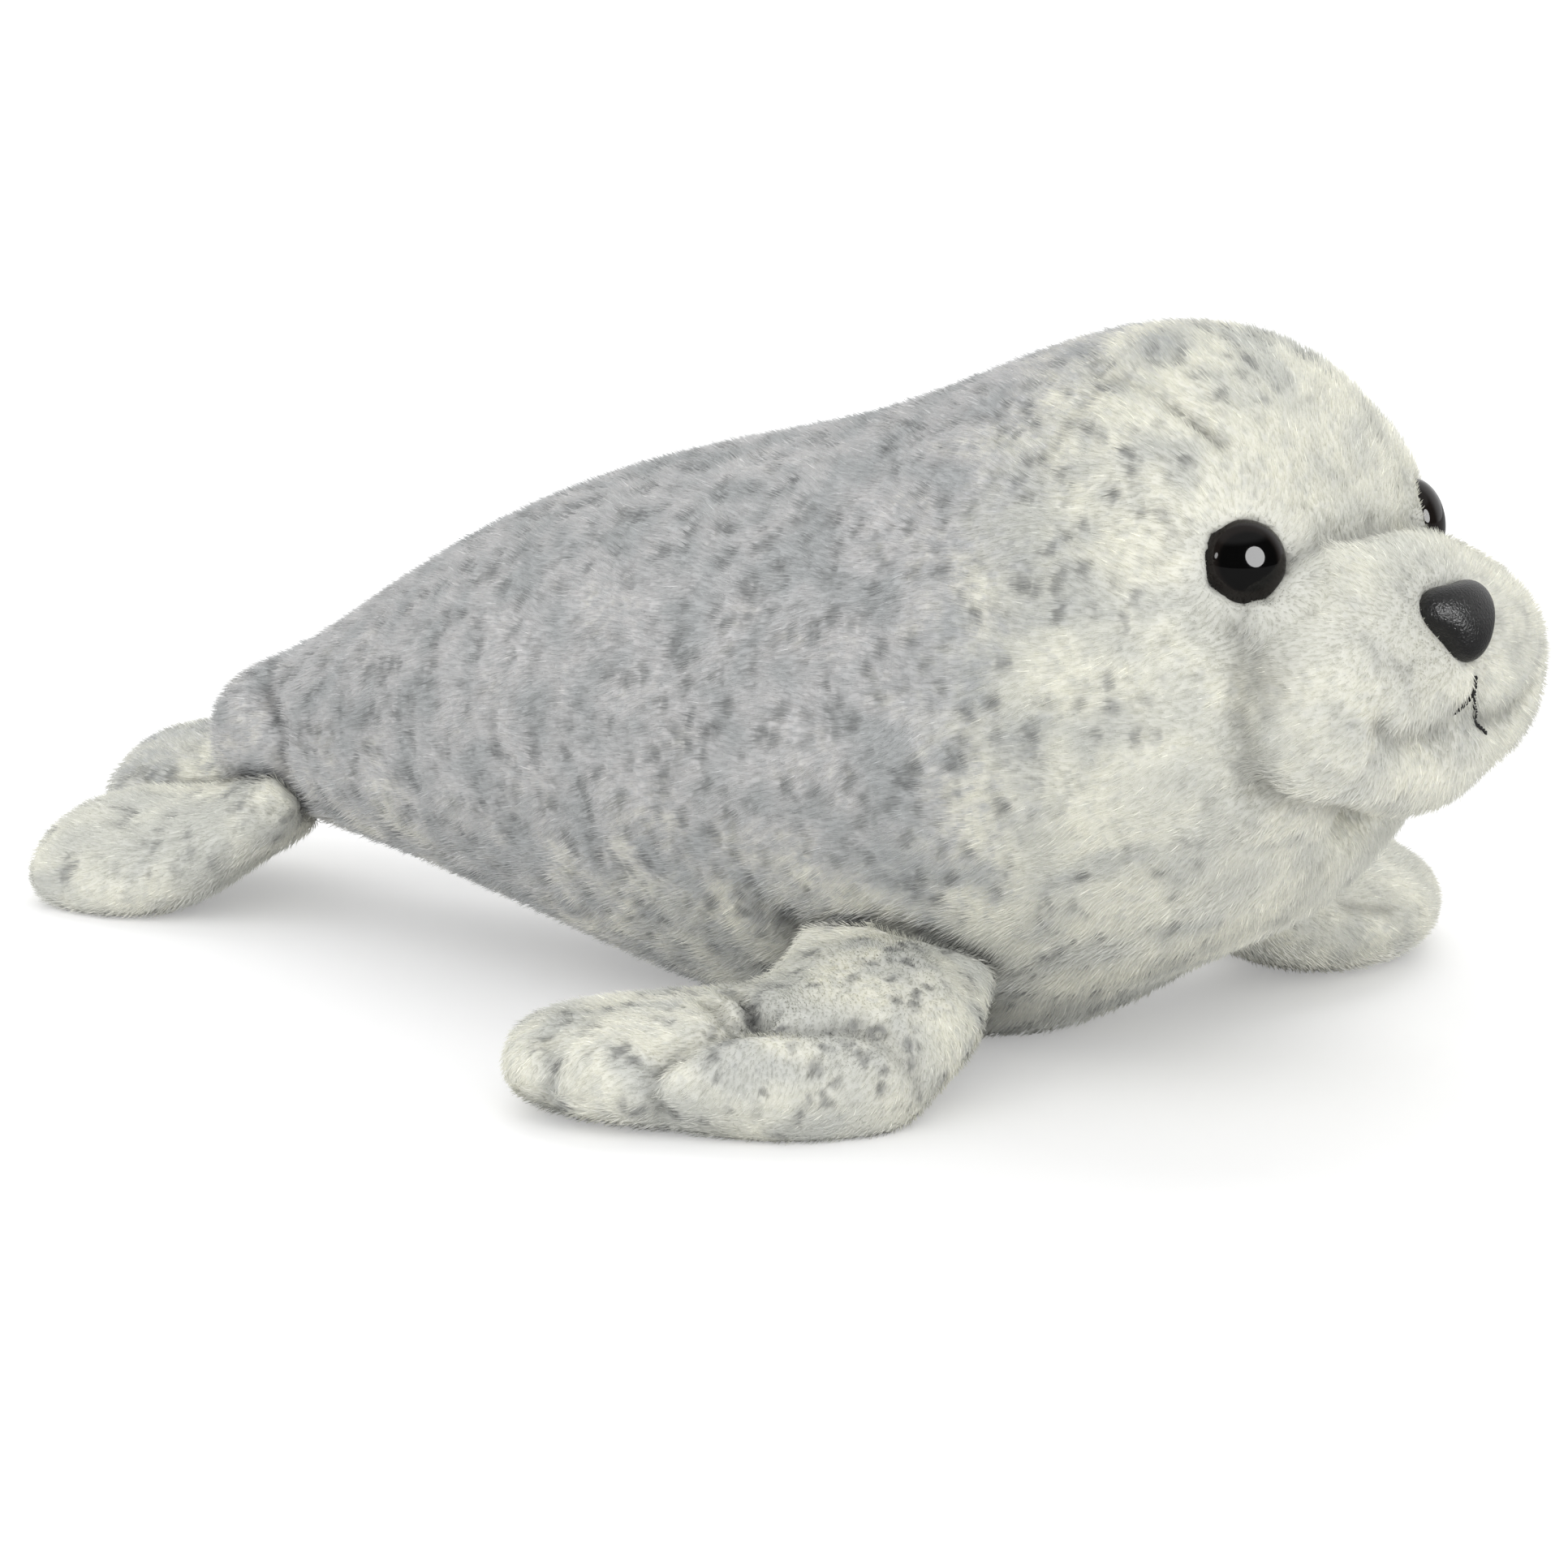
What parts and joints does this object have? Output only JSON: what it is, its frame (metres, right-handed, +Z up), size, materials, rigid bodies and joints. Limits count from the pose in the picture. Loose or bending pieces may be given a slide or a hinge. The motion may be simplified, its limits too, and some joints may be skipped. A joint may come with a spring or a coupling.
{
  "type": "plush seal",
  "caption": "Stuffed toy seal lying on its belly, with spotted grey and cream plush, paddle flippers, round black eyes, a moulded nose and a stitched mouth",
  "frame": {"origin": "on the floor under the middle of the bounding box", "axes": "+X is the way the seal looks, +Y its left side, +Z up"},
  "size_m": [0.399, 0.2884, 0.1586],
  "materials": {
    "spotted_plush": "short pile, grey with darker spots, cream on the face",
    "pale_plush": "short pile, cream with grey spots",
    "black_gloss": "polished",
    "black_grained": "fine grain, satin",
    "white_nylon": "as moulded",
    "black_thread": "twisted thread"
  },
  "bodies": {
    "root": {"body": "spotted_plush", "right_front_flipper": "pale_plush", "left_front_flipper": "pale_plush", "right_hind_flipper": "pale_plush", "left_hind_flipper": "pale_plush", "right_eye": "black_gloss", "left_eye": "black_gloss", "right_eye_washer": "white_nylon", "left_eye_washer": "white_nylon", "nose": "black_grained", "nose_washer": "white_nylon", "mouth_stitch": "black_thread"}
  },
  "joints": []
}
